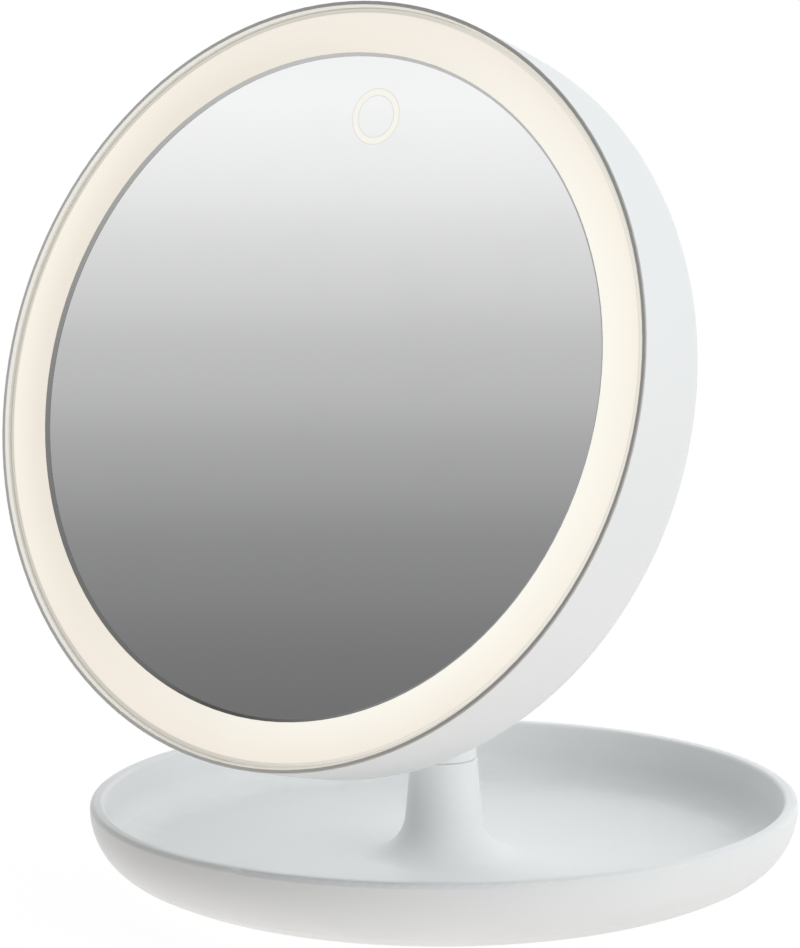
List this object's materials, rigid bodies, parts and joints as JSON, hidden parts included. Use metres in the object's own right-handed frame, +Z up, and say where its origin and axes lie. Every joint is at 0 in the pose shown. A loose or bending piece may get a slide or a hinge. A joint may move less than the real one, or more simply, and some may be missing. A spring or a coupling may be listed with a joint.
{
  "type": "lighted makeup mirror",
  "caption": "Round tabletop makeup mirror with a lit opal ring and a touch ring, tilting on a stem that swivels on a dished tray base for small items.",
  "frame": {"origin": "on the table under the middle of the stem, at the foot pad's lower face", "axes": "+Z up, the mirror faces -Y, +X to the right of the mirror as a user facing +Y sees it"},
  "size_m": [0.234, 0.216, 0.2775],
  "materials": {
    "white_shell": "smooth satin white moulding",
    "satin_trim": "satin grey ring",
    "opal_light": "opal diffuser, lit warm white",
    "touch_light": "frosted ring, lit",
    "grey_gasket": "matte grey",
    "silvered_glass": "silvered glass",
    "foot_rubber": "matte light grey",
    "steel": "bare steel",
    "cast_metal": "die cast, satin",
    "bearing_plastic": "natural bearing plastic",
    "foam_tape": "foam tape",
    "white_frame": "white reflective moulding",
    "circuit_board": "solder mask green",
    "dark_plastic": "black component plastic",
    "led_chip": "phosphor",
    "clear_plastic": "clear light guide",
    "battery_wrap": "wrapped cell"
  },
  "bodies": {
    "base": {"tray_shell": "white_shell", "base_cover": "white_shell", "ballast_disc": "steel", "foot_pad": "foot_rubber", "base_screws": "steel", "swivel_bush": "bearing_plastic", "swivel_washer": "steel"},
    "stem": {"stem_tube": "white_shell", "stem_spigot": "steel", "swivel_nut": "steel", "hinge_knuckle": "cast_metal"},
    "head": {"rear_housing": "white_shell", "trim_ring": "satin_trim", "diffuser_ring": "opal_light", "mirror_glass": "silvered_glass", "touch_ring_window": "touch_light", "mirror_gasket": "grey_gasket", "mirror_pad": "foam_tape", "carrier_plate": "white_frame", "carrier_screws": "steel", "led_board": "circuit_board", "leds": "led_chip", "touch_board": "circuit_board", "touch_light_guide": "clear_plastic", "battery_pad": "foam_tape", "battery_pack": "battery_wrap", "main_board": "circuit_board", "board_chips": "dark_plastic", "board_screws": "steel", "charge_socket": "steel", "hinge_yoke": "white_shell", "yoke_screws": "steel", "hinge_bolt": "steel", "hinge_nut": "steel", "friction_washers": "bearing_plastic", "hinge_caps": "white_shell"}
  },
  "joints": [
    {"name": "swivel", "type": "hinge", "parent": "base", "child": "stem", "pos_m": [0, 0, 0.04], "axis": [0, 0, 1], "continuous": true},
    {"name": "tilt", "type": "hinge", "parent": "stem", "child": "head", "pos_m": [0, 0, 0.1451], "axis": [-1, 0, 0], "range_deg": [-25, 20]}
  ]
}
